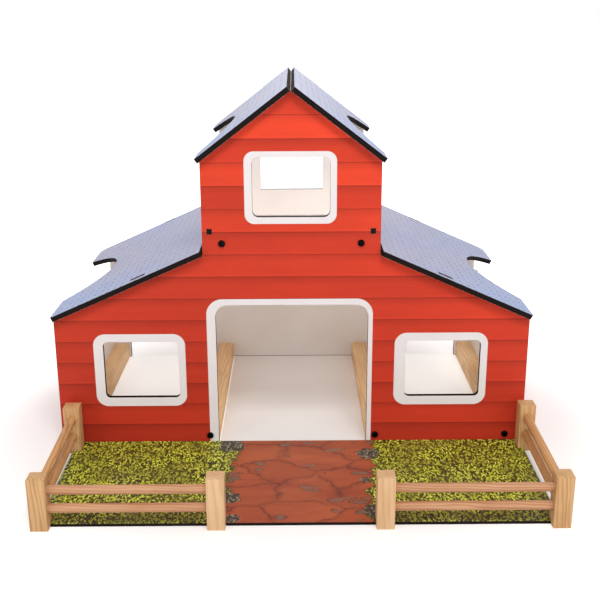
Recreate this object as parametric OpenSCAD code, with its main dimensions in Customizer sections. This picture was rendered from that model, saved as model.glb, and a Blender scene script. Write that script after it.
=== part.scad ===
// Toy barn of plain boards, with four lift-off roof panels and a fenced yard in front.
// Millimetres, +Z up, the front faces -Y. The ground is z = 0.

/* [Node] */
// Name of the node to draw

/* [Walls] */
// Width of the front wall
wall_w = 550; // [480:1:620]
// Distance from the front wall's face to the rear wall's face
barn_d = 301; // [240:1:360]
// Thickness of every wall board
wall_t = 6; // [4:0.5:8]
// Width of the raised middle part
tower_w = 201; // [190:1:204]
// How far the outer side walls stand in from the front wall's edges
side_inset = 4.5; // [1:0.5:10]
// Height of the outer side walls
side_h = 130; // [90:1:140]
// How far the tower's side walls stand in from its edges
tower_inset = 5.5; // [1:0.5:7]
// Height of the tower's side walls' top edge
tower_side_z = 308; // [290:1:320]
// Gap left between boards that meet
board_gap = 0.1; // [0.05:0.05:0.2]

/* [Roof panels] */
// Thickness of a roof panel
roof_t = 6; // [4:0.5:8]
// Overhang of the roof panels in front of the front wall
roof_front = 9; // [4:0.5:16]
// Slope of the lower roof panels, in degrees
low_pitch = 23.9; // [20:0.1:25]
// Height of the lower roof panels' top face at the eave
low_eave_z = 162; // [158:1:170]
// Overhang of the lower roof panels' eave beyond the front wall
low_eave_out = 2; // [0.5:0.1:6]
// Slope of the upper roof panels, in degrees
up_pitch = 37.3; // [30:0.1:42]
// Height of the upper roof panels' top face at the eave
up_eave_z = 342.3; // [338:0.1:360]
// Overhang of the upper roof panels' eave beyond the tower
up_eave_out = 5.5; // [2:0.1:12]
// Gap between a lift-off panel and the boards beside and under it
lift_gap = 0.4; // [0.3:0.05:0.6]
// Corner radius at the front of the eaves
roof_corner = 4; // [1:0.5:8]
// Corner radius at the rear of the eaves
rear_corner = 10; // [4:0.5:14]

/* [Finger notches] */
// Depth of the notch in a lower panel's eave
low_notch_d = 54; // [30:1:60]
// Half the length of the notch in a lower panel's eave
low_notch_half = 89; // [60:1:100]
// Depth of the notch in an upper panel's eave
up_notch_d = 46; // [25:1:60]
// Half the length of the notch in an upper panel's eave
up_notch_half = 108; // [70:1:125]

/* [Roof tabs] */
// Distance from the eave to the slot for a wall's tab
tab_s = 102; // [70:1:140]
// Length of the slot along the slope
tab_len = 18; // [10:1:24]

/* [Doorway and windows] */
// Half the width of the doorway
door_half = 88; // [78:0.5:90]
// Height of the doorway
door_h = 173.6; // [140:0.1:180]
// Corner radius of the doorway
door_corner = 14; // [6:0.5:20]
// Distance from the middle to the middle of a lower window
win_x = 176; // [170:0.5:182]
// Width of a lower window
win_w = 87.5; // [70:0.5:94]
// Height of a lower window's sill
win_z = 60; // [50:0.5:70]
// Height of a lower window's opening
win_h = 69.5; // [50:0.5:74]
// Corner radius of the lower windows
win_corner = 5.5; // [3:0.5:10]
// Width of the upper window
loft_win_w = 86.6; // [60:0.1:96]
// Height of the upper window's sill
loft_win_z = 276.6; // [270:0.1:290]
// Height of the upper window's opening
loft_win_h = 66.8; // [50:0.1:70]
// Corner radius of the upper window
loft_win_corner = 7; // [3:0.5:12]

/* [Rear openings] */
// Width of the opening behind the loft
rear_loft_w = 87.5; // [60:0.5:96]
// Height of the sill behind the loft
rear_loft_z = 252; // [248:1:262]
// Height of the opening behind the loft
rear_loft_h = 92; // [60:1:96]
// Distance between a rear stable opening and the beam beside the doorway
rear_bay_in = 27; // [12:1:40]
// Distance between a rear stable opening and the outer beam
rear_bay_out = 2.5; // [0.5:0.5:30]
// Height of a rear stable opening
rear_bay_h = 124; // [90:1:132]

/* [Beams and loft] */
// Side of a square beam
beam = 21; // [16:0.5:24]
// Height of the underside of the loft beams
loft_z = 236; // [230:0.5:238]
// Depth of the loft shelf
shelf_d = 68; // [50:1:110]
// Thickness of the loft shelf
shelf_t = 6; // [4:0.5:8]
// Height of the tongues that pass through the front and rear walls
tongue_h = 6.4; // [5:0.2:8]

/* [Bolts] */
// Diameter of a bolt's shank
bolt_d = 4; // [3:0.5:6]
// Diameter of a bolt's head
bolt_head_d = 8; // [6.5:0.5:10]
// Height of a bolt's head
bolt_head_h = 2.6; // [1.5:0.1:4]
// Length of a bolt's shank
bolt_len = 28; // [18:1:40]
// Width across the corners of the bolt's hexagon socket
bolt_socket = 2.9; // [2:0.1:4]
// Gap round a shank in a wall's hole
hole_gap = 0.2; // [0.1:0.05:0.5]
// Gap round a shank in a beam's hole
bore_gap = 0.05; // [0.02:0.01:0.1]

/* [Yard] */
// Width of the yard's board
yard_w = 530; // [420:1:600]
// Depth of the yard's board
yard_d = 189; // [120:1:260]
// Thickness of the yard's board
yard_t = 3.2; // [2:0.2:5]
// How far the yard stands to the right of the barn's middle
yard_x = 7; // [0:0.5:10]
// Gap between the yard's board and the barn
yard_gap = 0.5; // [0.4:0.1:3]
// Corner radius of the yard's board
yard_corner = 3; // [1:0.5:8]

/* [Fence] */
// Side of a square post
post = 18; // [12:0.5:22]
// Height of the posts
post_h = 57; // [48:1:80]
// How far the fence stands to the right on its board
fence_x = 1.5; // [0:0.5:4]
// How far the front corner posts' middles stand in from the board's sides
corner_in = 2.7; // [0:0.1:8]
// Half the distance between the two gate posts
gate_half = 85.1; // [60:0.1:110]
// How far the rear posts' middles stand out from the board's sides
rear_out = 0.6; // [0:0.1:3]
// Distance from the barn to the rear posts' middle
rear_post_y = 16; // [14:0.5:30]
// Diameter of the rails
rail_d = 9.6; // [6:0.2:10.5]
// Height of the lower rails' middle
rail_low_z = 21.5; // [14:0.5:24]
// Height of the upper rails' middle
rail_up_z = 42; // [36:0.5:44]
// Depth of a rail's end in its post
rail_in = 4; // [2:0.2:4]
// Gap round a post in the board's notch
post_gap = 0.15; // [0.1:0.05:0.4]

/* [Hidden] */

red = [0.80, 0.22, 0.15];
slate = [0.70, 0.72, 0.84];
white = [0.94, 0.93, 0.91];
pine = [0.86, 0.70, 0.52];
black = [0.09, 0.09, 0.09];
grass = [0.50, 0.55, 0.15];

over = 1;
tower_half = tower_w / 2;
side_in = wall_w / 2 - side_inset - wall_t;
tower_in = tower_half - tower_inset - wall_t;
rear_in = barn_d - wall_t;
roof_len_y = barn_d + roof_front;
roof_mid = (barn_d - roof_front) / 2;
rear_bay_x0 = door_half + beam + rear_bay_in;
rear_bay_x1 = side_in - beam - rear_bay_out;
yard_front = -yard_gap - yard_d;
corner_half = yard_w / 2 - corner_in;
rear_half = yard_w / 2 + rear_out;
low_eave_x = wall_w / 2 + low_eave_out;
low_top_x = tower_half + lift_gap + roof_t * sin(low_pitch);
low_len = (low_eave_x - low_top_x) / cos(low_pitch);
up_eave_x = tower_half + up_eave_out;
up_top_x = lift_gap + roof_t * sin(up_pitch);
up_len = (up_eave_x - up_top_x) / cos(up_pitch);
top_z = up_eave_z + (up_eave_x - up_top_x) * tan(up_pitch);
tongue_z = loft_z + beam + board_gap + tongue_h / 2;
fence_mid = yard_x + fence_x;
rail_angle = atan((rear_half - corner_half) / (-rear_post_y - yard_front));

// The row's origin is the middle of the whole part's footprint
edge_left = min(-low_eave_x, fence_mid - rear_half - post / 2, yard_x - yard_w / 2);
edge_right = max(low_eave_x, fence_mid + rear_half + post / 2, yard_x + yard_w / 2);
mid_x = (edge_left + edge_right) / 2;
mid_y = (barn_d + yard_front - post / 2) / 2;

// Height of the lower and the upper roof's underside, seat gap included, at a distance from the middle
function under_low(x) = low_eave_z + (low_eave_x - x) * tan(low_pitch)
    - (roof_t + lift_gap) / cos(low_pitch);
function under_up(x) = up_eave_z + (up_eave_x - x) * tan(up_pitch)
    - (roof_t + lift_gap) / cos(up_pitch);

// A rectangle with rounded corners, exact arcs
module rounded(w, h, r)
{
    translate([r, 0])
        square([w - 2 * r, h]);
    translate([0, r])
        square([w, h - 2 * r]);
    for (x = [r, w - r], y = [r, h - r])
        translate([x, y])
            circle(r, $fn = 48);
}

// An opening that stands on the ground, rounded at the top corners
module ground_opening(w, h, r)
{
    translate([-w / 2, -over])
        square([w, h - r + over]);
    translate([r - w / 2, 0])
        square([w - 2 * r, h]);
    for (side = [-1, 1])
        translate([side * (w / 2 - r), h - r])
            circle(r, $fn = 48);
}

// A point of a lower panel's slope, right of the middle: distance from the eave, height off the top face
function low_point(s, n) = [low_eave_x - s * cos(low_pitch) + n * sin(low_pitch),
    low_eave_z + s * sin(low_pitch) + n * cos(low_pitch)];

// Right half of a gabled wall's outline, from the foot to the apex, with its tab for the roof panel
function half_gable(half) = let(seat = -roof_t - lift_gap, s0 = tab_s + lift_gap,
    s1 = tab_s + tab_len - lift_gap) [[half, 0], [half, under_low(half)], low_point(s0, seat),
    low_point(s0, 0), low_point(s1, 0), low_point(s1, seat), [tower_half, under_low(tower_half)],
    [tower_half, under_up(tower_half)], [0, under_up(0)]];

module gable_outline(half)
{
    right = half_gable(half);
    polygon(concat(right, [for (i = [len(right) - 2 : -1 : 0]) [-right[i][0], right[i][1]]]));
}

// Holes for the bolts and the tower walls' tongues, the same in both gabled walls
module wall_holes()
{
    for (side = [-1, 1])
    {
        for (p = [[door_half, 0], [side_in - beam, 0], [tower_in - beam, loft_z]])
            translate([side * (p[0] + beam / 2), p[1] + beam / 2])
                circle(bolt_d / 2 + hole_gap, $fn = 32);
        translate([side * (tower_in + wall_t / 2), tongue_z])
            square([wall_t + 2 * board_gap, tongue_h + 2 * board_gap], center = true);
    }
}

// Stands a wall's outline up at a distance behind the front face
module stand(y)
{
    translate([0, y + wall_t, 0])
        rotate([90, 0, 0])
            linear_extrude(wall_t)
                children();
}

module front_wall()
{
    color(red)
        stand(0)
            difference()
            {
                gable_outline(wall_w / 2);
                wall_holes();
                ground_opening(2 * door_half, door_h, door_corner);
                for (side = [-1, 1])
                    translate([side * win_x - win_w / 2, win_z])
                        rounded(win_w, win_h, win_corner);
                translate([-loft_win_w / 2, loft_win_z])
                    rounded(loft_win_w, loft_win_h, loft_win_corner);
            }
}

module rear_wall()
{
    color(red)
        stand(rear_in)
            difference()
            {
                gable_outline(side_in - board_gap);
                wall_holes();
                for (side = [-1, 1])
                    translate([side * (rear_bay_x0 + rear_bay_x1) / 2, 0])
                        ground_opening(rear_bay_x1 - rear_bay_x0, rear_bay_h, door_corner);
                translate([-rear_loft_w / 2, rear_loft_z])
                    square([rear_loft_w, rear_loft_h]);
            }
}

module side_wall()
{
    color(red)
        translate([-side_in - wall_t, wall_t + board_gap, 0])
            cube([wall_t, barn_d - wall_t - board_gap, side_h]);
}

// A tower wall stands beside its loft beam, with a tongue at each end
module tower_wall()
{
    long = rear_in - wall_t - 2 * board_gap;
    color(red)
    {
        translate([-tower_in - wall_t, wall_t + board_gap, loft_z])
            cube([wall_t, long, tower_side_z - loft_z]);
        translate([-tower_in - wall_t, 0, tongue_z - tongue_h / 2])
            cube([wall_t, barn_d, tongue_h]);
    }
}

// A square beam between the walls, bored at both ends for its bolts
module bored_beam(x, z)
{
    long = rear_in - wall_t - 2 * board_gap;
    depth = bolt_len - wall_t + over;
    color(pine)
        translate([x, wall_t + board_gap, z])
            difference()
            {
                cube([beam, long, beam]);
                for (y = [-over, long - depth])
                    translate([beam / 2, y, beam / 2])
                        rotate([-90, 0, 0])
                            cylinder(h = depth + over, r = bolt_d / 2 + bore_gap, $fn = 32);
            }
}

module loft_shelf()
{
    color(white)
        translate([-tower_in + board_gap, wall_t + board_gap, loft_z + beam + board_gap])
            cube([2 * (tower_in - board_gap), shelf_d, shelf_t]);
}

// One bolt, its head in front of the plane y = 0 and its shank behind it
module bolt()
{
    rise = 0.35 * bolt_head_h;
    rotate([90, 0, 0])
        difference()
        {
            rotate_extrude($fn = 48)
                polygon([[0, -bolt_len], [bolt_d / 2, -bolt_len], [bolt_d / 2, board_gap],
                    [bolt_head_d / 2, board_gap], [bolt_head_d / 2, bolt_head_h - 2 * rise],
                    [bolt_head_d / 2 - rise / 2, bolt_head_h - rise / 2],
                    [bolt_head_d / 2 - 1.6 * rise, bolt_head_h], [0, bolt_head_h]]);
            translate([0, 0, bolt_head_h / 3])
                cylinder(h = bolt_head_h, d = bolt_socket, $fn = 6);
        }
}

module bolts()
{
    for (side = [-1, 1], p = [[door_half, 0], [side_in - beam, 0], [tower_in - beam, loft_z]])
        translate([side * (p[0] + beam / 2), 0, p[1] + beam / 2])
            bolt();
}

module front_bolts()
{
    color(black)
        bolts();
}

module rear_bolts()
{
    color(black)
        translate([0, barn_d, 0])
            mirror([0, 1, 0])
                bolts();
}

// Plan of a roof panel: x runs up the slope from the eave, y runs back
module panel_plan(long, notch_d, notch_half)
{
    notch_r = (notch_half * notch_half + notch_d * notch_d) / (2 * notch_d);
    difference()
    {
        translate([0, -roof_front])
            square([long, roof_len_y]);
        translate([notch_d - notch_r, roof_mid])
            circle(notch_r, $fn = 180);
        for (end = [0, 1])
            let (r = end == 0 ? roof_corner : rear_corner)
                translate([0, roof_mid])
                    mirror([0, end])
                        translate([-over, -roof_len_y / 2 - over])
                            difference()
                            {
                                square(r + over);
                                translate([r + over, r + over])
                                    circle(r, $fn = 48);
                            }
    }
}

// Lays a panel's plan on its slope, left of the middle
module lay(eave_x, eave_z, pitch)
{
    translate([-eave_x, 0, eave_z])
        rotate([0, -pitch, 0])
            translate([0, 0, -roof_t])
                linear_extrude(roof_t)
                    children();
}

module lower_roof()
{
    color(slate)
        lay(low_eave_x, low_eave_z, low_pitch)
            difference()
            {
                panel_plan(low_len, low_notch_d, low_notch_half);
                translate([tab_s, -lift_gap])
                    square([tab_len, wall_t + 2 * lift_gap]);
                translate([tab_s, rear_in - lift_gap])
                    square([tab_len, wall_t + lift_gap + over]);
            }
}

module upper_roof()
{
    color(slate)
        lay(up_eave_x, up_eave_z, up_pitch)
            panel_plan(up_len, up_notch_d, up_notch_half);
}

module at_post(x, y)
{
    translate([fence_mid + x, y, 0])
        children();
}

// Places for the six posts: corner and gate posts in front, rear posts by the barn
post_spots = [[-corner_half, yard_front], [-gate_half, yard_front], [gate_half, yard_front],
    [corner_half, yard_front], [-rear_half, -rear_post_y], [rear_half, -rear_post_y]];

module yard_board()
{
    color(grass)
        linear_extrude(yard_t)
            difference()
            {
                translate([yard_x - yard_w / 2, yard_front])
                    rounded(yard_w, yard_d, yard_corner);
                for (p = post_spots)
                    translate([fence_mid + p[0], p[1]])
                        square(post + 2 * post_gap, center = true);
            }
}

// A rail from the corner post's middle towards +X, its end inside the post
module front_rail(z, gap)
{
    start = post / 2 - rail_in - gap;
    at_post(-corner_half, yard_front)
        translate([start, 0, z])
            rotate([0, 90, 0])
                cylinder(h = corner_half - gate_half - 2 * start, r = rail_d / 2 + gap, $fn = 48);
}

// A rail from the corner post towards the barn, a little splayed
module side_rail(z, gap)
{
    start = post / 2 - rail_in - gap;
    run = (-rear_post_y - yard_front) / cos(rail_angle);
    at_post(-corner_half, yard_front)
        rotate([0, 0, rail_angle])
            translate([0, start, z])
                rotate([-90, 0, 0])
                    cylinder(h = run - 2 * start, r = rail_d / 2 + gap, $fn = 48);
}

// Mirrors a piece of the fence to the right half
module right_fence()
{
    translate([2 * fence_mid, 0, 0])
        mirror([1, 0, 0])
            children();
}

// A post of the left half, with blind holes for the rails that end in it
module fence_post(x, y)
{
    color(pine)
        difference()
        {
            at_post(x, y)
                translate([-post / 2, -post / 2, 0])
                    cube([post, post, post_h]);
            for (z = [rail_low_z, rail_up_z])
            {
                front_rail(z, bore_gap);
                side_rail(z, bore_gap);
            }
        }
}

module rail(z, front)
{
    color(pine)
        if (front)
            front_rail(z, 0);
        else
            side_rail(z, 0);
}

translate([-mid_x, -mid_y, 0])
{
    front_wall();
    rear_wall();
    side_wall();  // side_wall_left
    mirror([1, 0, 0]) side_wall();  // side_wall_right
    tower_wall();  // tower_wall_left
    mirror([1, 0, 0]) tower_wall();  // tower_wall_right
    bored_beam(-side_in, 0);  // floor_beam_outer_left
    bored_beam(-door_half - beam, 0);  // floor_beam_inner_left
    bored_beam(door_half, 0);  // floor_beam_inner_right
    bored_beam(side_in - beam, 0);  // floor_beam_outer_right
    bored_beam(-tower_in, loft_z);  // loft_beam_left
    bored_beam(tower_in - beam, loft_z);  // loft_beam_right
    loft_shelf();
    front_bolts();
    rear_bolts();
    lower_roof();  // lower_roof_left
    mirror([1, 0, 0]) lower_roof();  // lower_roof_right
    upper_roof();  // upper_roof_left
    mirror([1, 0, 0]) upper_roof();  // upper_roof_right
    yard_board();
    fence_post(-corner_half, yard_front);  // post_corner_left
    fence_post(-gate_half, yard_front);  // post_gate_left
    right_fence() fence_post(-gate_half, yard_front);  // post_gate_right
    right_fence() fence_post(-corner_half, yard_front);  // post_corner_right
    fence_post(-rear_half, -rear_post_y);  // post_rear_left
    right_fence() fence_post(-rear_half, -rear_post_y);  // post_rear_right
    rail(rail_low_z, true);  // rail_front_left_low
    rail(rail_up_z, true);  // rail_front_left_up
    right_fence() rail(rail_low_z, true);  // rail_front_right_low
    right_fence() rail(rail_up_z, true);  // rail_front_right_up
    rail(rail_low_z, false);  // rail_side_left_low
    rail(rail_up_z, false);  // rail_side_left_up
    right_fence() rail(rail_low_z, false);  // rail_side_right_low
    right_fence() rail(rail_up_z, false);  // rail_side_right_up
}
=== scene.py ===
import math

import bmesh
import bpy
from mathutils import Matrix, Vector


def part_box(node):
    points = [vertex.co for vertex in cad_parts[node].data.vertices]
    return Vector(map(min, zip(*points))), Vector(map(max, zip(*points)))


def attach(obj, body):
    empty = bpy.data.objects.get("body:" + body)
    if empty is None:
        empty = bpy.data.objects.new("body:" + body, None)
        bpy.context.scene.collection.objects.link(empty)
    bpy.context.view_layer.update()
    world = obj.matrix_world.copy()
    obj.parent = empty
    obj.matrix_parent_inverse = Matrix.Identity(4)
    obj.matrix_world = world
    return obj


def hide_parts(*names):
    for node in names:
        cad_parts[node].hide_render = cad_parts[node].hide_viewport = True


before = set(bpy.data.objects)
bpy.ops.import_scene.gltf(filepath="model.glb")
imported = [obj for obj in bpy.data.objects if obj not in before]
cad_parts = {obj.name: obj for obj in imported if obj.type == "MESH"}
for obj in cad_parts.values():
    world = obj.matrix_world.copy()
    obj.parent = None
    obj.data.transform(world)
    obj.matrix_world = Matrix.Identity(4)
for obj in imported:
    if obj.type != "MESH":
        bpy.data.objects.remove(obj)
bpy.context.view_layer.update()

# The barn's own middle line and the front face of its front wall, in the row's frame, in millimetres.
BARN = Vector((3.05, 51.25, 0.0))
BARN_DEPTH = 301.0
BOARD = 6.0  # thickness of the walls, the roofs and the shelf
SIDE_WALL, TOWER_WALL = 264.5, 89.0  # from the middle line to the walls' inner faces
SHELF = 257.1  # height of the loft shelf's underside
YARD_BOARD = 3.2
YARD_MIDDLE = 7.0  # the yard's middle, right of the barn's
SIDES = ((-1, "left"), (1, "right"))
X, Y, Z = Vector((1, 0, 0)), Vector((0, 1, 0)), Vector((0, 0, 1))
FULL_TURN = 6.283


def spot(x, y, z):
    """A place in metres from millimetres right of the barn's middle, behind its front face and above the ground."""
    return (Vector((x, y, z)) - BARN) / 1000


# ---------------------------------------------------------------- camera and light


def place_camera():
    """The camera at the photograph's own height, distance and turn."""
    pitch, yaw, roll = (math.radians(a) for a in (17.40, 0.321, -0.207))
    ahead = Vector((math.sin(yaw) * math.cos(pitch), math.cos(yaw) * math.cos(pitch), -math.sin(pitch)))
    right = Vector((math.cos(yaw), -math.sin(yaw), 0))
    up = right.cross(ahead)
    side = right * math.cos(roll) + up * math.sin(roll)
    top = -right * math.sin(roll) + up * math.cos(roll)
    lens = bpy.data.cameras.new("camera")
    lens.sensor_width = 36
    lens.lens = 57.05
    lens.clip_start = 0.01
    camera = bpy.data.objects.new("camera", lens)
    turn = Matrix((side, top, -ahead)).transposed().to_4x4()
    camera.matrix_world = Matrix.Translation(spot(3.61, -1039.4, 505.37)) @ turn
    bpy.context.scene.collection.objects.link(camera)
    bpy.context.scene.camera = camera


def hang(name, kind, place, aim, watts, tint):
    """A lamp turned to what it lights, which the camera doesn't see."""
    lamp = bpy.data.lights.new(name, kind)
    lamp.energy = watts
    lamp.color = tint
    holder = bpy.data.objects.new(name, lamp)
    holder.location = place
    holder.rotation_euler = (Vector(aim) - Vector(place)).to_track_quat("-Z", "Y").to_euler()
    holder.visible_camera = False
    bpy.context.scene.collection.objects.link(holder)
    return lamp


def hang_softbox(name, place, aim, size, watts, tint=(1, 1, 1)):
    """A soft rectangular studio light."""
    lamp = hang(name, "AREA", place, aim, watts, tint)
    lamp.shape = "RECTANGLE"
    lamp.size, lamp.size_y = size


def hang_spot(name, place, aim, angle, watts, tint):
    """A small spotlight."""
    lamp = hang(name, "SPOT", place, aim, watts, tint)
    lamp.spot_size = math.radians(angle)
    lamp.spot_blend = 0.5
    lamp.shadow_soft_size = 0.008


place_camera()
hang_softbox("softbox_above", (0.2, -1.7, 2.5), (0, 0.0, 0.15), (1.3, 0.9), 45)
hang_softbox("softbox_left", (-1.6, -1.7, 0.95), (0, 0, 0.2), (0.9, 0.7), 10)
hang_softbox("softbox_right", (1.6, -1.7, 0.95), (0, 0, 0.2), (0.9, 0.7), 10)
hang_softbox("softbox_rear", (0.0, 2.0, 1.3), (0, 0.1, 0.1), (1.6, 1.0), 14)
# Two weak lamps brighten the stable's rear wall and the far wall behind the upper window.
hang_softbox("strip_in_stable", spot(0, 165, 226), spot(0, 300, 40), (0.16, 0.03), 0.14, (1.0, 0.9, 0.82))
hang_spot("spot_in_tower", spot(0, 16, 346), spot(0, 300, 262), 46, 1.3, (0.95, 1.0, 1.05))
bpy.context.scene.view_settings.view_transform = "Standard"


# ---------------------------------------------------------------- material tools

MATH, VECTOR, RANGE, MIX = "ShaderNodeMath", "ShaderNodeVectorMath", "ShaderNodeMapRange", "ShaderNodeMix"
NOISE, CELLS, SPLIT = "ShaderNodeTexNoise", "ShaderNodeTexVoronoi", "ShaderNodeSeparateXYZ"
# Settings that come up often: a smooth rise from value to value, a blend of two colours, a colour times a number.
SMOOTH = {"interpolation_type": "SMOOTHSTEP"}
BLEND = {"out": 2, "data_type": "RGBA"}
TIMES = {"out": 2, "data_type": "RGBA", "blend_type": "MULTIPLY"}
# The point's own place on its board or stick, in millimetres: along, across, and through.
PLACE = {"kind": "ShaderNodeAttribute", "out": "Vector", "attribute_name": "sheet"}


def paint(code):
    """A linear colour from an sRGB hex value."""
    parts = (int(code[i : i + 2], 16) / 255 for i in (0, 2, 4))
    return (*(c / 12.92 if c <= 0.04045 else ((c + 0.055) / 1.055) ** 2.4 for c in parts), 1)


def feed(tree, node, feeds):
    """Sets a node's inputs to values and hex colours, or links them to sockets."""
    for key, value in feeds.items() if isinstance(feeds, dict) else enumerate(feeds):
        if isinstance(value, bpy.types.NodeSocket):
            tree.links.new(value, node.inputs[key])
        else:
            node.inputs[key].default_value = paint(value) if isinstance(value, str) else value


def add(tree, kind, feeds=(), out=0, **settings):
    """Adds a node with its settings and feeds, and gives back the output asked for, or the node where out is None."""
    made = tree.nodes.new(kind)
    for key, value in settings.items():
        setattr(made, key, value)
    feed(tree, made, feeds)
    return made if out is None else made.outputs[out]


def started(name):
    """A new material and its tree."""
    material = bpy.data.materials.new(name)
    material.use_nodes = True
    return material, material.node_tree


def drawn(material, feeds, height=None, depth=0.0):
    """Feeds the material's shader, with a bump of that depth in metres where there is a height."""
    tree = material.node_tree
    shader = tree.nodes["Principled BSDF"]
    feed(tree, shader, feeds)
    if height is not None:
        bump = add(tree, "ShaderNodeBump", {"Height": height, "Distance": depth, "Strength": 1.0})
        feed(tree, shader, {"Normal": bump})
    return material


# ---------------------------------------------------------------- finishes of the boards


def ring_distance(t, x, z, middle, half, radius):
    """Distance in millimetres from the outline of a rounded rectangle, less than nothing inside it."""
    outs = []
    for value, centre, reach in zip((x, z), middle, half):
        off = add(t, MATH, (add(t, MATH, (value, centre), operation="SUBTRACT"),), operation="ABSOLUTE")
        outs.append(add(t, MATH, (off, reach - radius), operation="SUBTRACT"))
    squares = [add(t, MATH, (add(t, MATH, (out, 0.0), operation="MAXIMUM"), 2.0), operation="POWER") for out in outs]
    corner = add(t, MATH, (add(t, MATH, squares, operation="ADD"),), operation="SQRT")
    flat = add(t, MATH, (add(t, MATH, outs, operation="MAXIMUM"), 0.0), operation="MINIMUM")
    return add(t, MATH, (add(t, MATH, (corner, flat), operation="ADD"), radius), operation="SUBTRACT")


def printed_planks(name, trims):
    """Satin print of lapped red planks with white trims.

    Each plank has its own tone, a dark line under the lap above it and faint streaks along it. A trim is a rounded
    rectangle's middle, half size and corner radius.
    """
    first_lap, plank_height = 25.9, 26.0
    material, t = started(name)
    place = add(t, **PLACE)
    x, z, _ = add(t, SPLIT, (place,), None).outputs
    count = add(t, MATH, (add(t, MATH, (z, first_lap), operation="SUBTRACT"), plank_height), operation="DIVIDE")
    plank = add(t, MATH, (count,), operation="FLOOR")
    rise = add(t, MATH, (count,), operation="FRACT")
    # Every plank has its own tone, and painted light from above makes the higher ones lighter.
    wave = add(t, MATH, (add(t, MATH, (plank, 3.21, 2.9), operation="MULTIPLY_ADD"),), operation="SINE")
    painted_light_from_above = add(t, MATH, (plank, 0.024, 0.30), operation="MULTIPLY_ADD")
    tone = add(t, MATH, (wave, 0.26, painted_light_from_above), operation="MULTIPLY_ADD", use_clamp=True)
    colour = add(t, MIX, {0: tone, 6: "A1281B", 7: "F04A2C"}, **BLEND)
    # Soft patches, and streaks 30 mm long and 1 mm high.
    wide = add(t, VECTOR, (place, (0.006, 0.02, 0)), operation="MULTIPLY")
    patch = add(t, NOISE, {"Vector": wide, "Scale": 1.0, "Detail": 3})
    thin = add(t, VECTOR, (place, (0.03, 0.9, 0)), operation="MULTIPLY")
    streak = add(t, NOISE, {"Vector": thin, "Scale": 1.0, "Detail": 4, "Roughness": 0.6})
    # Painted light makes the planks a little lighter towards their right end, and the lap above throws shade on the
    # plank's head.
    painted_light_to_right, head = (x, -240.0, 240.0, 0.93, 1.08), (rise, 0.55, 0.985, 1.0, 0.80)
    for shade in ((patch, 0.25, 0.75, 0.92, 1.07), (streak, 0.2, 0.8, 0.955, 1.045), painted_light_to_right, head):
        colour = add(t, MIX, {0: 1.0, 6: colour, 7: add(t, RANGE, shade, **SMOOTH)}, **TIMES)
    lap = add(t, RANGE, (rise, 0.93, 0.99, 0.0, 0.6), **SMOOTH)
    colour = add(t, MIX, {0: lap, 6: colour, 7: "7A2318"}, **BLEND)
    # The plank's own foot catches the light.
    foot = add(t, RANGE, (rise, 0.0, 0.2, 1.06, 1.0), **SMOOTH)
    colour = add(t, MIX, {0: 1.0, 6: colour, 7: foot}, **TIMES)
    edge = None
    for trim in trims:
        distance = ring_distance(t, x, z, *trim)
        edge = distance if edge is None else add(t, MATH, (edge, distance), operation="MINIMUM")
    if edge is not None:
        even = add(t, VECTOR, (place, (0.02, 0.02, 0.02)), operation="MULTIPLY")
        cloud = add(t, NOISE, {"Vector": even, "Scale": 1.0})
        white = add(t, MIX, {0: cloud, 6: "EAE5E6", 7: "E3DDDE"}, **BLEND)
        within = add(t, RANGE, (edge, -0.35, 0.35, 1.0, 0.0), **SMOOTH)
        colour = add(t, MIX, {0: within, 6: colour, 7: white}, **BLEND)
    grit = add(t, NOISE, {"Vector": place, "Scale": 1.6})
    rough = add(t, RANGE, (grit, 0.3, 0.7, 0.46, 0.56), **SMOOTH)
    return drawn(material, {"Base Color": colour, "Roughness": rough, "Specular IOR Level": 0.2}, grit, 0.00004)


def white_facing():
    """Satin white facing of the boards' inner sides: nearly plain, a little warm, with a faint orange-peel sheen."""
    material, t = started("satin white facing")
    place = add(t, **PLACE)
    wide = add(t, VECTOR, (place, (0.012, 0.012, 0.05)), operation="MULTIPLY")
    cloud = add(t, NOISE, {"Vector": wide, "Scale": 1.0, "Detail": 3})
    grit = add(t, NOISE, {"Vector": place, "Scale": 0.9})
    colour = add(t, MIX, {0: add(t, RANGE, (cloud, 0.3, 0.7), **SMOOTH), 6: "F1ECE9", 7: "EAE4E0"}, **BLEND)
    # A thin dark line along a board's foot is painted shade where the board meets the floor.
    painted_foot_shade = add(t, RANGE, (add(t, SPLIT, (place,), 1), 0.5, 1.1, 0.85, 0.0), **SMOOTH)
    colour = add(t, MIX, {0: painted_foot_shade, 6: colour, 7: "4A3F3A"}, **BLEND)
    rough = add(t, RANGE, (grit, 0.3, 0.7, 0.4, 0.5), **SMOOTH)
    return drawn(material, {"Base Color": colour, "Roughness": rough, "Specular IOR Level": 0.35}, grit, 0.00004)


def burnt_edge(name, inner, outer):
    """Laser-cut edge of fibreboard: brown-black char between two thin lines, which are the facings seen end on."""
    material, t = started(name)
    place = add(t, **PLACE)
    through = add(t, SPLIT, (place,), 2)
    # The cut's own fine lines run through the board, half a millimetre apart.
    fine = add(t, VECTOR, (place, (1.8, 1.8, 0.4)), operation="MULTIPLY")
    lines = add(t, NOISE, {"Vector": fine, "Scale": 1.0, "Detail": 3, "Roughness": 0.6})
    char = add(t, MIX, {0: add(t, RANGE, (lines, 0.25, 0.75), **SMOOTH), 6: "120E0D", 7: "221A18"}, **BLEND)
    facing = add(t, MIX, {0: add(t, RANGE, (through, 0.4, 0.6), **SMOOTH), 6: inner, 7: outer}, **BLEND)
    middle = add(t, MATH, (add(t, MATH, (through, 0.5), operation="SUBTRACT"),), operation="ABSOLUTE")
    line = add(t, RANGE, (middle, 0.455, 0.47), **SMOOTH)
    colour = add(t, MIX, {0: line, 6: char, 7: facing}, **BLEND)
    return drawn(material, {"Base Color": colour, "Roughness": 0.8, "Specular IOR Level": 0.08}, lines, 0.0001)


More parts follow.
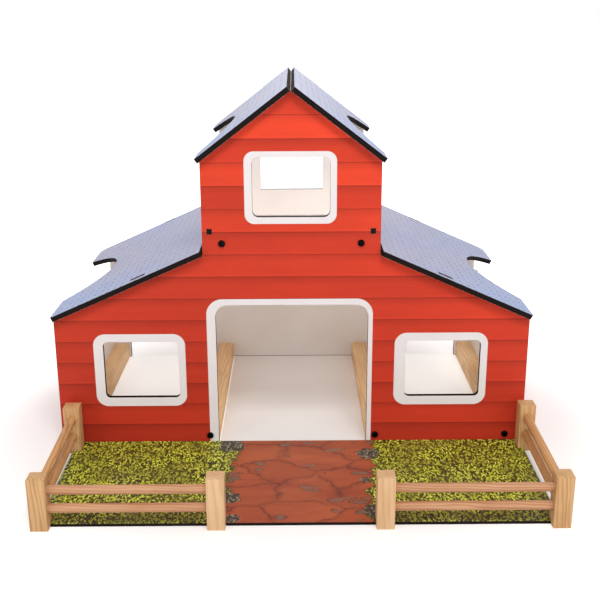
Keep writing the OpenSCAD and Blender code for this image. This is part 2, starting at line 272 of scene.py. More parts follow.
def facing_rim(name, pale):
    """The facing's eased rim, where the print is rubbed to the paper here and there."""
    material, t = started(name)
    rub = add(t, NOISE, {"Vector": add(t, **PLACE), "Scale": 0.25, "Detail": 3, "Roughness": 0.6})
    colour = add(t, MIX, {0: add(t, RANGE, (rub, 0.42, 0.6), **SMOOTH), 6: pale, 7: "5A4A42"}, **BLEND)
    return drawn(material, {"Base Color": colour, "Roughness": 0.6})


def printed_shingles():
    """Satin print of blue-grey shingles: staggered rows of tabs with small dark dashes at their feet."""
    row_height, tab_width = 9.0, 14.0
    material, t = started("printed shingles on fibreboard")
    place = add(t, **PLACE)
    along, up, _ = add(t, SPLIT, (place,), None).outputs
    wide = add(t, VECTOR, (place, (0.009, 0.009, 0)), operation="MULTIPLY")
    cloud = add(t, NOISE, {"Vector": wide, "Scale": 1.0, "Detail": 3})
    colour = add(t, MIX, {0: add(t, RANGE, (cloud, 0.3, 0.7), **SMOOTH), 6: "979EC2", 7: "A2A1BA"}, **BLEND)
    # The roof is bluest at the eave's front corner and greyer away from it.
    far = add(t, MATH, (add(t, MATH, (along,), operation="ABSOLUTE"), up), operation="ADD")
    near = add(t, RANGE, (far, 0.0, 190.0, 0.75, 0.0), **SMOOTH)
    colour = add(t, MIX, {0: near, 6: colour, 7: "90A5D0"}, **BLEND)
    # Every other row stands half a tab aside.
    row = add(t, MATH, (up, row_height), operation="DIVIDE")
    row_number = add(t, MATH, (row,), operation="FLOOR")
    aside = add(t, MATH, (add(t, MATH, (row_number, 2.0), operation="FLOORED_MODULO"), 0.5), operation="MULTIPLY")
    tab = add(t, MATH, (add(t, MATH, (along, tab_width), operation="DIVIDE"), aside), operation="ADD")
    name = add(t, "ShaderNodeCombineXYZ", (add(t, MATH, (tab,), operation="FLOOR"), row_number))
    chance = add(t, "ShaderNodeTexWhiteNoise", {"Vector": name}, "Color", noise_dimensions="3D")
    own = add(t, SPLIT, (chance,), None).outputs
    foot = add(t, MATH, (row,), operation="FRACT")
    for shade in ((own[0], 0.0, 1.0, 0.965, 1.035), (foot, 0.0, 0.14, 0.965, 1.0)):
        colour = add(t, MIX, {0: 1.0, 6: colour, 7: add(t, RANGE, shade, **SMOOTH)}, **TIMES)
    # A dash 5 mm long and 2 mm high near the middle of each tab's foot, some fainter, and all fainter up the slope.
    middle = add(t, MATH, (own[1], 0.2, 0.4), operation="MULTIPLY_ADD")
    off = add(t, MATH, (add(t, MATH, (tab,), operation="FRACT"), middle), operation="SUBTRACT")
    off = add(t, RANGE, (add(t, MATH, (off,), operation="ABSOLUTE"), 0.15, 0.21, 1.0, 0.0), **SMOOTH)
    high = add(t, MATH, (add(t, MATH, (foot, 0.14), operation="SUBTRACT"),), operation="ABSOLUTE")
    dash = add(t, MATH, (off, add(t, RANGE, (high, 0.09, 0.13, 1.0, 0.0), **SMOOTH)), operation="MULTIPLY")
    for fade in ((own[2], 0.0, 0.7, 0.25, 0.95), (up, 60.0, 240.0, 1.0, 0.5)):
        dash = add(t, MATH, (dash, add(t, RANGE, fade, **SMOOTH)), operation="MULTIPLY")
    colour = add(t, MIX, {0: dash, 6: colour, 7: "46548A"}, **BLEND)
    speck = add(t, NOISE, {"Vector": place, "Scale": 0.55})
    speck = add(t, RANGE, (speck, 0.3, 0.7, 0.97, 1.03), **SMOOTH)
    colour = add(t, MIX, {0: 1.0, 6: colour, 7: speck}, **TIMES)
    grit = add(t, NOISE, {"Vector": place, "Scale": 1.6})
    rough = add(t, RANGE, (grit, 0.3, 0.7, 0.36, 0.48), **SMOOTH)
    return drawn(material, {"Base Color": colour, "Roughness": rough, "Specular IOR Level": 0.4}, grit, 0.00004)


def blades(t, place, scale, seed):
    """Short curved grass blades, one in each cell of a net: how much of a blade is here, and its own random numbers."""
    # The print's blades are twice as long towards the barn as across it, and turned at random.
    aside = add(t, VECTOR, (place, (seed * 31.7, seed * 17.3, 0)), operation="ADD")
    moved = add(t, VECTOR, (aside, (1, 0.5, 0)), operation="MULTIPLY")
    net = add(t, CELLS, {"Vector": moved, "Scale": scale}, None, voronoi_dimensions="2D").outputs
    local = add(t, VECTOR, (moved, net["Position"]), operation="SUBTRACT")
    own = add(t, SPLIT, (net["Color"],), None).outputs
    angle = add(t, MATH, (own[0], FULL_TURN), operation="MULTIPLY")
    turned = add(t, "ShaderNodeVectorRotate", {"Vector": local, "Angle": angle}, rotation_type="Z_AXIS")
    a, b, _ = add(t, SPLIT, (turned,), None).outputs
    long = 0.58 / scale
    bow = add(t, MATH, (own[1], 0.5 / long, -0.25 / long), operation="MULTIPLY_ADD")
    bow = add(t, MATH, (add(t, MATH, (a, a), operation="MULTIPLY"), bow), operation="MULTIPLY")
    off = add(t, MATH, (add(t, MATH, (b, bow), operation="SUBTRACT"),), operation="ABSOLUTE")
    tip = add(t, MATH, (add(t, MATH, (a, long), operation="DIVIDE"), 2.0), operation="POWER")
    taper = add(t, MATH, (1.0, tip), operation="SUBTRACT", use_clamp=True)
    taper = add(t, MATH, (taper, 0.2 / scale), operation="MULTIPLY")
    past = add(t, MATH, (off, taper), operation="SUBTRACT")
    return add(t, RANGE, (past, -0.3, 0.2, 1.0, 0.0), **SMOOTH), own


def printed_yard():
    """Satin print of cropped grass with a clay path of worn slabs, a few stones on it and dark tufts at its sides."""
    material, t = started("printed grass and clay path on hardboard")
    place = add(t, **PLACE)
    x, y, _ = add(t, SPLIT, (place,), None).outputs
    # Dark ground first, then four layers of blades, the brightest last.
    ground = add(t, NOISE, {"Vector": place, "Scale": 0.12, "Detail": 3})
    grass = add(t, MIX, {0: ground, 6: "1D1E08", 7: "3E3612"}, **BLEND)
    layers = [(0.34, 1, "5A5A18", "8A8A2A"), (0.33, 2, "8E9424", "B9BE38")]
    layers += [(0.31, 3, "B6BF2E", "E2E64C"), (0.29, 4, "C4CC2C", "F6F46A")]
    for scale, seed, dull, bright in layers:
        blade, own = blades(t, place, scale, seed)
        if seed > 1:
            blade = add(t, MATH, (blade, add(t, RANGE, (own[2], 0.35, 0.4), **SMOOTH)), operation="MULTIPLY")
        green = add(t, MIX, {0: own[1], 6: dull, 7: bright}, **BLEND)
        grass = add(t, MIX, {0: blade, 6: grass, 7: green}, **BLEND)
    # The turf has calmer brown patches, and is darker along the front edge, painted shade under the front rails.
    wide = add(t, VECTOR, (place, (0.02, 0.03, 0)), operation="MULTIPLY")
    patch = add(t, NOISE, {"Vector": wide, "Scale": 1.0, "Detail": 3})
    patch = add(t, RANGE, (patch, 0.42, 0.62, 0.0, 0.45), **SMOOTH)
    grass = add(t, MIX, {0: patch, 6: grass, 7: "5E5420"}, **BLEND)
    front = add(t, RANGE, (y, -186.0, -170.0, 0.6, 1.0), **SMOOTH)
    grass = add(t, MIX, {0: 1.0, 6: grass, 7: front}, **TIMES)
    # The path: slabs 45 mm across with soft dark joints.
    slabs = 0.021
    ripple = add(t, NOISE, {"Vector": place, "Scale": 0.035, "Detail": 3, "Roughness": 0.55}, 1)
    narrow = add(t, VECTOR, (place, (0.75, 1, 0)), operation="MULTIPLY")
    bent = add(t, VECTOR, (ripple, (30, 30, 0), narrow), operation="MULTIPLY_ADD")
    flat = {"voronoi_dimensions": "2D"}
    joint = add(t, CELLS, {"Vector": bent, "Scale": slabs}, "Distance", feature="DISTANCE_TO_EDGE", **flat)
    slab = add(t, SPLIT, (add(t, CELLS, {"Vector": bent, "Scale": slabs}, "Color", **flat),))
    clay = add(t, MIX, {0: add(t, RANGE, (slab, 0.0, 1.0), **SMOOTH), 6: "A44C28", 7: "B45C32"}, **BLEND)
    worn = add(t, VECTOR, (place, (0.008, 0.03, 0)), operation="MULTIPLY")
    worn = add(t, NOISE, {"Vector": worn, "Scale": 1.0, "Detail": 4, "Roughness": 0.6})
    clay = add(t, MIX, {0: add(t, RANGE, (worn, 0.3, 0.7), **SMOOTH), 6: clay, 7: "964023"}, **BLEND)
    hollow = add(t, RANGE, (joint, 0.0, 0.13, 0.8, 1.03), **SMOOTH)
    clay = add(t, MIX, {0: 1.0, 6: clay, 7: hollow}, **TIMES)
    fade = add(t, RANGE, (add(t, NOISE, {"Vector": place, "Scale": 0.05, "Detail": 1}), 0.4, 0.6, 0.35, 1.0), **SMOOTH)
    line = add(t, RANGE, (joint, 0.01, 0.03, 0.85, 0.0), **SMOOTH)
    clay = add(t, MIX, {0: add(t, MATH, (line, fade), operation="MULTIPLY"), 6: clay, 7: "6E2A1C"}, **BLEND)
    # Flat stones in the joints, grey-brown with a dark outline.
    pebbles = add(t, VECTOR, (bent, (7, 3, 0)), operation="ADD")
    pebbles = add(t, VECTOR, (pebbles, (0.7, 1.35, 0)), operation="MULTIPLY")
    near = add(t, CELLS, {"Vector": pebbles, "Scale": 0.07}, None, **flat).outputs
    own = add(t, SPLIT, (near["Color"],), None).outputs
    few = add(t, RANGE, (add(t, NOISE, {"Vector": place, "Scale": 0.016, "Detail": 1}), 0.44, 0.52), **SMOOTH)
    size = add(t, MATH, (add(t, RANGE, (own[0], 0.5, 0.85), **SMOOTH), few), operation="MULTIPLY")
    size = add(t, MATH, (size, 0.42), operation="MULTIPLY")
    gap = add(t, MATH, (near["Distance"], size), operation="SUBTRACT")
    stone = add(t, MIX, {0: own[1], 6: "8E5A44", 7: "6F5446"}, **BLEND)
    mottle = add(t, NOISE, {"Vector": place, "Scale": 0.4, "Detail": 3})
    mottle = add(t, RANGE, (mottle, 0.3, 0.7, 0.85, 1.12), **SMOOTH)
    stone = add(t, MIX, {0: 1.0, 6: stone, 7: mottle}, **TIMES)
    outline = add(t, RANGE, (gap, 0.0, 0.06, 0.75, 0.0), **SMOOTH)
    clay = add(t, MIX, {0: outline, 6: clay, 7: "5E3527"}, **BLEND)
    clay = add(t, MIX, {0: add(t, RANGE, (gap, -0.09, -0.05, 1.0, 0.0), **SMOOTH), 6: clay, 7: stone}, **BLEND)
    # The path's sides wander a few millimetres and lean to the right towards the barn.
    half_path = 79.0
    middle = add(t, MATH, (add(t, MATH, (y, 0.088, 9.0), operation="MULTIPLY_ADD"), 8.0), operation="ADD")
    off = add(t, MATH, (add(t, MATH, (x, middle), operation="SUBTRACT"),), operation="ABSOLUTE")
    wander = add(t, VECTOR, (place, (0.02, 0.07, 0)), operation="MULTIPLY")
    wander = add(t, NOISE, {"Vector": wander, "Scale": 1.0, "Detail": 3, "Roughness": 0.6})
    wander = add(t, RANGE, (wander, 0.2, 0.8, -9.0, 9.0), **SMOOTH)
    side = add(t, MATH, (add(t, MATH, (off, half_path), operation="SUBTRACT"), wander), operation="ADD")
    fringe = add(t, NOISE, {"Vector": place, "Scale": 0.3, "Detail": 1})
    side = add(t, MATH, (side, 3.5), operation="SUBTRACT")
    fringe = add(t, MATH, (fringe, 7.0, side), operation="MULTIPLY_ADD")
    colour = add(t, MIX, {0: add(t, RANGE, (fringe, -0.8, 0.8), **SMOOTH), 6: clay, 7: grass}, **BLEND)
    shade = add(t, MATH, (fringe,), operation="ABSOLUTE")
    shade = add(t, RANGE, (shade, 0.4, 3.0, 0.6, 0.0), **SMOOTH)
    colour = add(t, MIX, {0: shade, 6: colour, 7: "3A3A1C"}, **BLEND)
    # Dark tufts stand at the path's sides, of small leaves over shade.
    leaf = add(t, MIX, {0: add(t, NOISE, {"Vector": place, "Scale": 0.2}), 6: "2A251C", 7: "463D30"}, **BLEND)
    for scale, seed, dull, bright in ((0.28, 5, "5A5042", "857B69"), (0.32, 6, "6E6554", "ADA691")):
        blade, own = blades(t, place, scale, seed)
        blade = add(t, MATH, (blade, add(t, RANGE, (own[2], 0.3, 0.4), **SMOOTH)), operation="MULTIPLY")
        green = add(t, MIX, {0: own[1], 6: dull, 7: bright}, **BLEND)
        leaf = add(t, MIX, {0: blade, 6: leaf, 7: green}, **BLEND)
    level = add(t, VECTOR, (place, (1, 1, 0)), operation="MULTIPLY")
    left_tufts = ((-72, -14, 15), (-66, -138, 11), (-62, -180, 8))
    right_tufts = ((88, -36, 13), (86, -166, 12), (80, -100, 6))
    for right, ahead, radius in (tuft for pair in zip(left_tufts, right_tufts) for tuft in pair):
        away = add(t, VECTOR, (level, (right, ahead, 0)), "Value", operation="DISTANCE")
        ragged = add(t, NOISE, {"Vector": place, "Scale": 0.2, "Detail": 4, "Roughness": 0.75})
        ragged = add(t, MATH, (ragged, 22.0, away), operation="MULTIPLY_ADD")
        tuft = add(t, RANGE, (ragged, radius + 10.0, radius + 12.0, 1.0, 0.0), **SMOOTH)
        colour = add(t, MIX, {0: tuft, 6: colour, 7: leaf}, **BLEND)
    # A bare white margin is left at both sides.
    margin = add(t, MATH, (add(t, MATH, (x, YARD_MIDDLE), operation="SUBTRACT"),), operation="ABSOLUTE")
    margin = add(t, RANGE, (margin, 264.3, 264.7), **SMOOTH)
    colour = add(t, MIX, {0: margin, 6: colour, 7: "E9E6DC"}, **BLEND)
    grit = add(t, NOISE, {"Vector": place, "Scale": 1.2})
    rough = add(t, RANGE, (grit, 0.3, 0.7, 0.45, 0.58), **SMOOTH)
    return drawn(material, {"Base Color": colour, "Roughness": rough, "Specular IOR Level": 0.3}, grit, 0.00004)


# ---------------------------------------------------------------- pine and steel


def sanded_pine(name, pale, ring, deep, spacing, contrast):
    """Bare sanded pine with a soft dull sheen: pale early wood, thin darker late wood, and fine fibres along it.

    The rings lie round a pith outside the stick, spacing millimetres apart.
    """
    pith_across, pith_deep, lean = 11.0, 19.0, 0.03
    material, t = started(name)
    place = add(t, **PLACE)
    drift = add(t, VECTOR, (place, (0.012, 0.07, 0.07)), operation="MULTIPLY")
    drift = add(t, NOISE, {"Vector": drift, "Scale": 1.0}, 1)
    bent = add(t, VECTOR, (drift, (0, 9, 9), place), operation="MULTIPLY_ADD")
    along, across, into = add(t, SPLIT, (bent,), None).outputs
    squares = []
    for value, pith in ((across, pith_across), (into, pith_deep)):
        squares.append(add(t, MATH, (add(t, MATH, (value, pith), operation="ADD"), 2.0), operation="POWER"))
    rings = add(t, MATH, (add(t, MATH, squares, operation="ADD"),), operation="SQRT")
    rings = add(t, MATH, (along, lean, rings), operation="MULTIPLY_ADD")
    rings = add(t, MATH, (rings, spacing), operation="DIVIDE")
    turn = add(t, MATH, (rings,), operation="FRACT")
    rising = add(t, RANGE, (turn, 0.3, 0.86), **SMOOTH)
    falling = add(t, RANGE, (turn, 0.9, 1.0, 1.0, 0.0), **SMOOTH)
    late = add(t, MATH, (rising, falling), operation="MULTIPLY")
    each = add(t, MATH, (rings,), operation="FLOOR")
    each = add(t, "ShaderNodeTexWhiteNoise", {"W": each}, "Value", noise_dimensions="1D")
    each = add(t, MATH, (each, 0.6 * contrast, 0.4 * contrast), operation="MULTIPLY_ADD")
    late = add(t, MATH, (late, each), operation="MULTIPLY")
    colour = add(t, MIX, {0: late, 6: pale, 7: ring}, **BLEND)
    # Fibres 25 mm long and half a millimetre wide.
    fibre = add(t, VECTOR, (place, (0.04, 1.6, 1.6)), operation="MULTIPLY")
    fibre = add(t, NOISE, {"Vector": fibre, "Scale": 1.0, "Detail": 3, "Roughness": 0.6})
    colour = add(t, MIX, {0: add(t, RANGE, (fibre, 0.45, 0.8, 0.0, 0.35), **SMOOTH), 6: colour, 7: deep}, **BLEND)
    warm = add(t, VECTOR, (place, (0.015, 0.06, 0.06)), operation="MULTIPLY")
    warm = add(t, NOISE, {"Vector": warm, "Scale": 1.0})
    colour = add(t, MIX, {0: add(t, RANGE, (warm, 0.35, 0.75, 0.0, 0.4), **SMOOTH), 6: colour, 7: ring}, **BLEND)
    height = add(t, MATH, (late, -0.5, fibre), operation="MULTIPLY_ADD")
    rough = add(t, RANGE, (fibre, 0.3, 0.7, 0.55, 0.68), **SMOOTH)
    return drawn(material, {"Base Color": colour, "Roughness": rough, "Specular IOR Level": 0.3}, height, 0.00012)


def black_oxide():
    """Black-oxide steel of the bolts: dark satin with soft highlights, a little worn here and there."""
    material, t = started("black-oxide steel")
    wear = add(t, NOISE, {"Vector": add(t, "ShaderNodeTexCoord", out="Object"), "Scale": 900.0, "Detail": 3})
    colour = add(t, MIX, {0: add(t, RANGE, (wear, 0.5, 0.75), **SMOOTH), 6: "0E0D0D", 7: "252322"}, **BLEND)
    rough = add(t, RANGE, (wear, 0.3, 0.7, 0.28, 0.45), **SMOOTH)
    return drawn(material, {"Base Color": colour, "Roughness": rough, "Metallic": 1.0}, wear, 0.00003)


# The white trims round the openings: middle, half size and corner radius.
front_trims = [((-2.6, 80.5), (95.9, 100.5), 19.0), ((-0.65, 309.4), (51.35, 40.5), 11.0)]
front_trims += [((-177.7, 94.1), (53.3, 45.0), 14.0), ((173.7, 94.1), (54.3, 45.0), 14.0)]
rear_trims = [((side * 188.5, 60.0), (63.0, 74.0), 19.0) for side in (-1, 1)] + [((0.0, 298.0), (51.5, 54.0), 9.0)]
front_print = printed_planks("printed red planks and trims", front_trims)
rear_print = printed_planks("printed red planks and rear trims", rear_trims)
plank_print = printed_planks("printed red planks", [])
white = white_facing()
char = burnt_edge("laser-cut edge of the walls", "6E625B", "3A1E19")
roof_char = burnt_edge("laser-cut edge of the roof panels", "CFC4BA", "1C1715")
shingles = printed_shingles()
turf = printed_yard()
rim_red = facing_rim("rubbed rim of the red boards", "8A3A2C")
rim_pale = facing_rim("rubbed rim of the roof boards", "A9A6AC")
post_pine = sanded_pine("sanded pine posts at the corners", "D6AD7C", "A9743F", "9C683A", 3.8, 0.75)
gate_pine = sanded_pine("sanded pine gate posts", "E0BC92", "C2905E", "B4834F", 4.8, 0.5)
beam_pine = sanded_pine("sanded pine beams", "F4CE9E", "CC945C", "BC8450", 4.2, 0.6)
rail_pine = sanded_pine("turned pine rails, front", "CC9C76", "A66E49", "8E5A38", 3.0, 0.8)
side_pine = sanded_pine("turned pine rails, sides", "D6A672", "B27843", "9C6438", 3.0, 0.8)
steel = black_oxide()


# ---------------------------------------------------------------- pieces from their CAD nodes


def cleaned(node):
    """A working copy of a CAD node's mesh with its doubles merged and its flat faces whole."""
    work = bmesh.new()
    work.from_mesh(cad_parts[node].data)
    bmesh.ops.remove_doubles(work, verts=work.verts, dist=0.000002)
    bmesh.ops.dissolve_limit(work, angle_limit=math.radians(0.6), verts=work.verts, edges=work.edges)
    return work


def finished(work, name, node, body, finishes, lay, through=1):
    """Makes the worked mesh a piece.

    lay is the origin, along and up of its sheet, and through its thickness, both in millimetres.
    """
    mesh = bpy.data.meshes.new(name)
    work.to_mesh(mesh)
    work.free()
    for stale in ("custom_normal", "sharp_edge"):
        if stale in mesh.attributes:
            mesh.attributes.remove(mesh.attributes[stale])
    for finish in finishes:
        mesh.materials.append(finish)
    origin, along, up = (Vector(v) for v in lay)
    out = along.cross(up)
    sheet = mesh.attributes.new("sheet", "FLOAT_VECTOR", "POINT")
    for vertex, value in zip(mesh.vertices, sheet.data):
        at = vertex.co * 1000 + BARN - origin
        value.vector = (at.dot(along), at.dot(up), at.dot(out) / through)
    mesh.set_sharp_from_angle(angle=math.radians(38))
    piece = bpy.data.objects.new(name, mesh)
    bpy.context.scene.collection.objects.link(piece)
    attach(piece, body)
    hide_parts(node)
    return piece


def ease(work, width, segments, finish=-1):
    """Rounds the sharp edges off by that width in millimetres."""
    sharp = [e for e in work.edges if len(e.link_faces) == 2 and e.calc_face_angle() > math.radians(32)]
    how = {"offset": width / 1000, "segments": segments, "profile": 0.5, "affect": "EDGES", "clamp_overlap": True}
    bmesh.ops.bevel(work, geom=sharp, material=finish, **how)


def board(node, body, slot, finishes, lay, thick=BOARD):
    """A board cut from faced sheet. finishes are its outer print, inner facing, cut edge and rubbed rim."""
    work = cleaned(node)
    out = Vector(lay[1]).cross(Vector(lay[2]))
    for face in work.faces:
        side = face.normal.dot(out)
        face.material_index = 0 if side > 0.7 else 1 if side < -0.7 else 2
    ease(work, 0.22, 1, 3)
    for face in work.faces:
        side = face.normal.dot(out)
        # Only the red boards have a rubbed rim outside; the others' is as burnt as their edge.
        if face.material_index == 3 and side > 0 and slot != "red_board":
            face.material_index = 2
        face.smooth = abs(side) < 0.3
    return finished(work, node + "_board", node, body, finishes, lay, thick)


def stick(node, body, finish, lay, width, segments):
    """A square or round piece of pine with its arrises eased."""
    work = cleaned(node)
    ease(work, width, segments)
    along = Vector(lay[1])
    for face in work.faces:
        face.smooth = face.calc_area() < 0.0002 and abs(face.normal.dot(along)) < 0.99
    return finished(work, node + "_pine", node, body, [finish], lay)


board("front_wall", "barn", "red_board", [front_print, white, char, rim_red], ((0, BOARD, 0), X, Z))
board("rear_wall", "barn", "red_board", [rear_print, white, char, rim_red], ((0, BARN_DEPTH - BOARD, 0), -X, Z))
for side, name in SIDES:
    plain = [plank_print, white, char, rim_red]
    for wall, inner_face in (("side_wall_", SIDE_WALL), ("tower_wall_", TOWER_WALL)):
        board(wall + name, "barn", "red_board", plain, ((side * inner_face, 0, 0), Y * side, Z))
board("loft_shelf", "barn", "white_board", [white, white, char, rim_pale], ((0, 0, SHELF), X, Y))

# Each roof's pitch, and its upper face's place at the eave.
for level, pitch, eave in (("lower", 23.9, (277.0, 162.0)), ("upper", 37.3, (106.0, 342.3))):
    for side, name in SIDES:
        # Up the slope and along the eave, so that the outer side is the print's.
        slope = Vector((-side * math.cos(math.radians(pitch)), 0, math.sin(math.radians(pitch))))
        foot = Vector((side * eave[0], 0, eave[1])) - BOARD * (Y * side).cross(slope)
        node = level + "_roof_" + name
        board(node, node, "roof_board", [shingles, white, roof_char, rim_pale], (foot, Y * side, slope))

board("yard_board", "yard", "grass_board", [turf, white, roof_char, rim_pale], ((0, 0, 0), X, Y), YARD_BOARD)

# Each stick takes its grain from its own place in the wood, this many millimetres from its neighbour's.
APART = 400
nth = 0
beams = ["floor_beam_" + name for name in ("outer_left", "inner_left", "inner_right", "outer_right")]
for node in beams + ["loft_beam_left", "loft_beam_right"]:
    nth += 1
    stick(node, "barn", beam_pine, ((0, -APART * nth, 0), Y, Z), 1.0, 2)
for place in ("corner", "gate", "rear"):
    for _, name in SIDES:
        nth += 1
        node = "post_" + place + "_" + name
        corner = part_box(node)[0] * 1000 + BARN
        origin = corner - Z * APART * nth - X * 7 * (nth % 3)
        stick(node, "yard", gate_pine if place == "gate" else post_pine, (origin, Z, X), 1.6, 3)
for _, name in SIDES:
    for height in ("low", "up"):
        for place, pine, along, up in (("front", rail_pine, X, Y), ("side", side_pine, Y, Z)):
            nth += 1
            node = "rail_" + place + "_" + name + "_" + height
            low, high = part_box(node)
            middle = (low + high) * 500 + BARN
            stick(node, "yard", pine, (middle - along * APART * nth, along, up), 0.4, 2)


# ---------------------------------------------------------------- bolts

# Places of the bolts in both gables, in millimetres to each side of the middle and above the ground.
BOLTS = ((98.5, 10.5), (254.0, 10.5), (78.5, 246.5))


def bolt_mesh():
    """A button-head bolt along +Z with its head's seat at the origin, lathed in rings, with a hexagon socket."""
    count = 36
    # Radius and height in millimetres: the shank, the head's side and dome, and last the socket.
    profile = [(0.0, -28.0, 0), (1.6, -28.0, 0), (2.0, -27.5, 0), (2.0, 0.1, 0), (3.85, 0.1, 0), (4.0, 0.25, 0)]
    profile += [(4.0, 0.78, 0), (3.93, 1.2, 0), (3.7, 1.75, 0), (3.3, 2.25, 0), (2.75, 2.52, 0), (2.3, 2.6, 0)]
    profile += [(1.75, 2.6, 0), (1.56, 2.5, 1), (1.45, 2.35, 1), (1.45, 0.95, 1), (0.0, 0.75, 0)]
    work = bmesh.new()
    rings = []
    for radius, height, hexagon in profile:
        if radius == 0:
            rings.append([work.verts.new((0, 0, height / 1000))] * count)
            continue
        ring = []
        for i in range(count):
            angle = 2 * math.pi * i / count
            # The socket's flats pull in between its six corners.
            flat = math.cos(math.pi / 6) / math.cos(angle % (math.pi / 3) - math.pi / 6) if hexagon else 1
            reach = radius * flat / 1000
            ring.append(work.verts.new((reach * math.cos(angle), reach * math.sin(angle), height / 1000)))
        rings.append(ring)
    for low, high in zip(rings, rings[1:]):
        for i in range(count):
            j = (i + 1) % count
            corners = dict.fromkeys((low[i], low[j], high[j], high[i]))
            work.faces.new(list(corners)).smooth = True
    bmesh.ops.recalc_face_normals(work, faces=work.faces)
    mesh = bpy.data.meshes.new("bolt")
    work.to_mesh(mesh)
    work.free()
    mesh.materials.append(steel)
    mesh.set_sharp_from_angle(angle=math.radians(40))
    return mesh


def bolt_tree():
    """Sets one bolt on each point, tipped so that its head faces the way asked for and turned at random."""
    tree = bpy.data.node_groups.new("bolts_on_points", "GeometryNodeTree")
    kinds = {"Geometry": "Geometry", "Bolt": "Object", "Tip": "Float", "Size": "Float", "Finish": "Material"}
    for name, kind in kinds.items():
        tree.interface.new_socket(name, in_out="INPUT", socket_type="NodeSocket" + kind)
    tree.interface.new_socket("Geometry", in_out="OUTPUT", socket_type="NodeSocketGeometry")
    given = add(tree, "NodeGroupInput", out=None).outputs
    bolt = add(tree, "GeometryNodeObjectInfo", {"Object": given["Bolt"]}, "Geometry")
    # The node's fourth input and second output are the largest float and the float drawn.
    chance = add(tree, "FunctionNodeRandomValue", {3: FULL_TURN, "Seed": 7}, 1, data_type="FLOAT")
    turns = {"Rotation": add(tree, "ShaderNodeCombineXYZ", {"X": given["Tip"]})}
    turns["Rotate By"] = add(tree, "ShaderNodeCombineXYZ", {"Z": chance})
    turned = add(tree, "FunctionNodeRotateEuler", turns, space="LOCAL")
    feeds = {"Points": given["Geometry"], "Instance": bolt, "Rotation": turned, "Scale": given["Size"]}
    laid = add(tree, "GeometryNodeInstanceOnPoints", feeds)
    real = add(tree, "GeometryNodeRealizeInstances", {"Geometry": laid})
    done = add(tree, "GeometryNodeSetMaterial", {"Geometry": real, "Material": given["Finish"]})
    add(tree, "NodeGroupOutput", {"Geometry": done}, None)
    return tree


def set_bolts(node, tree, pattern, y, tip):
    """The bolts of one wall as one plain mesh."""
    points = bpy.data.meshes.new(node + "_points")
    points.from_pydata([spot(side * x, y, z) for x, z in BOLTS for side in (-1, 1)], [], [])
    holder = bpy.data.objects.new(node + "_points", points)
    bpy.context.scene.collection.objects.link(holder)
    modifier = holder.modifiers.new("bolts", "NODES")
    modifier.node_group = tree
    wanted = {"Bolt": pattern, "Tip": tip, "Size": 1.0, "Finish": steel}
    for item in tree.interface.items_tree:
        if item.in_out == "INPUT" and item.name in wanted:
            modifier[item.identifier] = wanted[item.name]
    bpy.context.view_layer.update()
    mesh = bpy.data.meshes.new_from_object(holder.evaluated_get(bpy.context.evaluated_depsgraph_get()))
    mesh.name = node + "_steel"
    bpy.data.objects.remove(holder)
    piece = bpy.data.objects.new(node + "_steel", mesh)
    bpy.context.scene.collection.objects.link(piece)
    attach(piece, "barn")
    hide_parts(node)


pattern = bpy.data.objects.new("bolt_pattern", bolt_mesh())
bpy.context.scene.collection.objects.link(pattern)
tree = bolt_tree()
set_bolts("front_bolts", tree, pattern, 0, math.radians(90))
set_bolts("rear_bolts", tree, pattern, BARN_DEPTH, math.radians(-90))
bpy.data.objects.remove(pattern)


# ---------------------------------------------------------------- floor and background


def seen_plainly(t):
    """One where the camera sees a surface, straight or in a gloss or through glass, and nought for other light."""
    path = add(t, "ShaderNodeLightPath", out=None).outputs
    seen = add(t, MATH, (path["Is Camera Ray"], path["Is Glossy Ray"]), operation="MAXIMUM")
    return add(t, MATH, (seen, path["Is Transmission Ray"]), operation="MAXIMUM")


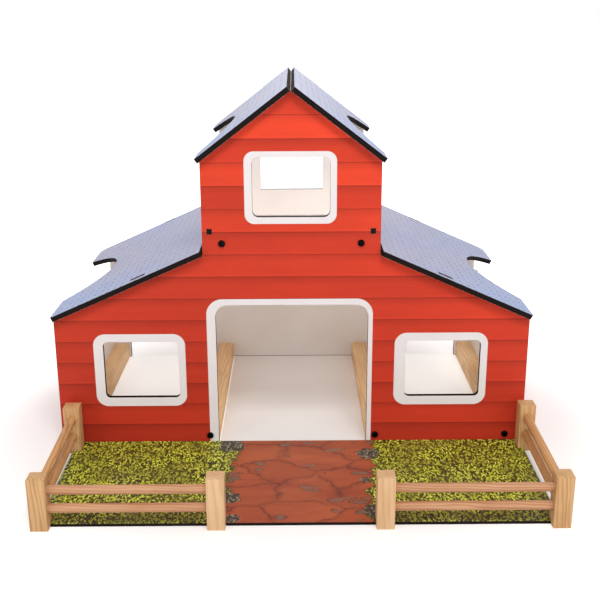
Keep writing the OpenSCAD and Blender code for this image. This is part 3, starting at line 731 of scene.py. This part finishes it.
def white_ground():
    """Matt white floor that takes the soft shadows near the barn and shows as plain white farther off; the floor of the
    two side stables glows evenly with painted light.
    """
    # Half the barn's width and depth and the middle of its depth, and half the middle stable's width, in metres.
    half_width, half_depth, depth_middle, half_stable = 0.265, 0.148, 0.1, 0.09
    material, t = started("matt white floor")
    t.nodes.remove(t.nodes["Principled BSDF"])
    matt = add(t, "ShaderNodeBsdfDiffuse", {"Color": "ECE8E6"})
    where = add(t, "ShaderNodeTexCoord", out="Object")
    near = add(t, VECTOR, (where, (1.0, 1.25, 1.0)), operation="MULTIPLY")
    away = add(t, VECTOR, (near,), "Value", operation="LENGTH")
    glow = add(t, RANGE, (away, 0.3, 0.62, 0.2, 1.0), **SMOOTH)
    # Between the barn's walls the middle stable's floor gets no lift, and the two beside it an even glow of painted
    # light.
    x, y, _ = add(t, SPLIT, (where,), None).outputs
    wide = add(t, MATH, (x,), operation="ABSOLUTE")
    painted_bay_light = add(t, MATH, (add(t, MATH, (wide, half_stable), operation="GREATER_THAN"), 0.36), operation="MULTIPLY")
    wide = add(t, MATH, (wide, half_width), operation="SUBTRACT")
    deep = add(t, MATH, (add(t, MATH, (y, depth_middle), operation="SUBTRACT"),), operation="ABSOLUTE")
    deep = add(t, MATH, (deep, half_depth), operation="SUBTRACT")
    outside = add(t, MATH, (add(t, MATH, (wide, deep), operation="MAXIMUM"), 0.0), operation="GREATER_THAN")
    glow = add(t, MIX, {0: outside, 2: painted_bay_light, 3: glow}, data_type="FLOAT")
    lift = add(t, MATH, (seen_plainly(t), glow), operation="MULTIPLY")
    light = add(t, "ShaderNodeEmission", {"Color": "FFFFFF", "Strength": lift})
    feed(t, t.nodes["Material Output"], {"Surface": add(t, "ShaderNodeAddShader", (matt, light))})
    return material


sheet = bpy.data.meshes.new("floor")
sheet.from_pydata([(-4, -3, 0), (4, -3, 0), (4, 5, 0), (-4, 5, 0)], [], [(0, 1, 2, 3)])
sheet.materials.append(white_ground())
floor = bpy.data.objects.new("floor", sheet)
bpy.context.scene.collection.objects.link(floor)

world = bpy.data.worlds.new("white studio")
bpy.context.scene.world = world
world.use_nodes = True
sky = world.node_tree
strength = add(sky, MIX, {0: seen_plainly(sky), 2: 0.38, 3: 1.0}, data_type="FLOAT")
feed(sky, sky.nodes["Background"], {"Color": "FFFFFF", "Strength": strength})
